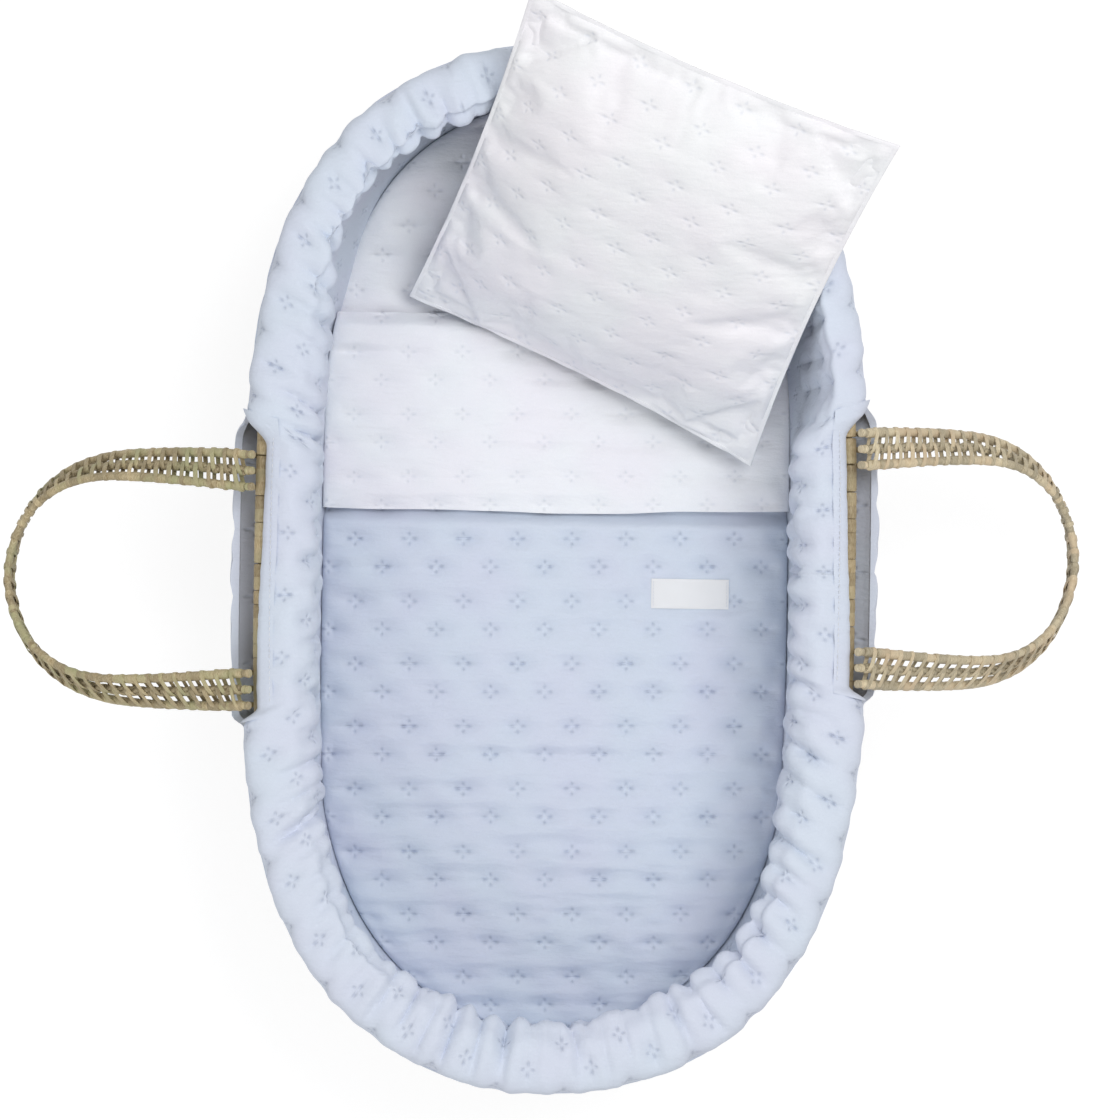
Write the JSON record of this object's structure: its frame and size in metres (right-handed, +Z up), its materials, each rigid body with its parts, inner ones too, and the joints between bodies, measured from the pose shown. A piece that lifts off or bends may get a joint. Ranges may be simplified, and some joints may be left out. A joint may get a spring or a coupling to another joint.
{
  "type": "moses basket",
  "caption": "Flared oval baby basket with a padded cover over its rim, openwork straw loop handles, mattress, tufted coverlet with a turned-down band, and a square pillow.",
  "frame": {"origin": "centre of the basket's flat underside, on the surface that it stands on", "axes": "+Z up, +Y towards the head end, +X towards the right when seen from above with the head end away"},
  "size_m": [0.8623, 0.8645, 0.382],
  "materials": {
    "woven_wall": "woven natural straw",
    "cane": "bare cane",
    "rim_straw": "wound natural straw",
    "olive_straw": "plaited natural straw with green and brown strands",
    "pale_straw": "plaited pale straw",
    "blue_cotton": "matt padded cotton, pale blue",
    "white_cotton": "matt padded cotton, white",
    "label_cloth": "woven tape, bare",
    "elastic_tape": "braided elastic",
    "foam": "open foam",
    "fibre_board": "pressed fibre board"
  },
  "bodies": {
    "basket": {"base_plate": "woven_wall", "side_wall": "woven_wall", "rim_core": "cane", "rim_wrap": "rim_straw", "cover_bumper": "blue_cotton", "cover_skirt": "blue_cotton", "hem_elastic": "elastic_tape", "left_slot_binding": "blue_cotton", "right_slot_binding": "blue_cotton", "left_head_anchor": "olive_straw", "left_foot_anchor": "olive_straw", "right_head_anchor": "pale_straw", "right_foot_anchor": "pale_straw", "left_head_lashing": "rim_straw", "left_foot_lashing": "rim_straw", "right_head_lashing": "rim_straw", "right_foot_lashing": "rim_straw"},
    "left_handle": {"left_handle_outer_cord": "olive_straw", "left_handle_inner_cord": "olive_straw", "left_handle_braid": "rim_straw"},
    "right_handle": {"right_handle_outer_cord": "pale_straw", "right_handle_inner_cord": "pale_straw", "right_handle_braid": "rim_straw"},
    "mattress": {"mattress_cover": "white_cotton", "mattress_foam": "foam", "mattress_board": "fibre_board"},
    "coverlet": {"coverlet": "blue_cotton", "turned_down_band": "white_cotton", "coverlet_label": "label_cloth"},
    "pillow": {"pillow_case": "white_cotton", "pillow_filling": "white_cotton", "pillow_seam": "white_cotton"}
  },
  "joints": [
    {"name": "left_handle_swing", "type": "hinge", "parent": "basket", "child": "left_handle", "pos_m": [-0.2363, -0.013, 0.264], "axis": [0, 1, 0], "range_deg": [0, 184]},
    {"name": "right_handle_swing", "type": "hinge", "parent": "basket", "child": "right_handle", "pos_m": [0.2363, 0.011, 0.264], "axis": [0, -1, 0], "range_deg": [0, 191]},
    {"name": "mattress_lift", "type": "slide", "parent": "basket", "child": "mattress", "axis": [0, 0, 1], "range_m": [0, 0.45]},
    {"name": "coverlet_lift", "type": "slide", "parent": "mattress", "child": "coverlet", "axis": [0, 0, 1], "range_m": [0, 0.4]},
    {"name": "pillow_lift", "type": "slide", "parent": "coverlet", "child": "pillow", "axis": [0, 0, 1], "range_m": [0, 0.4]}
  ]
}
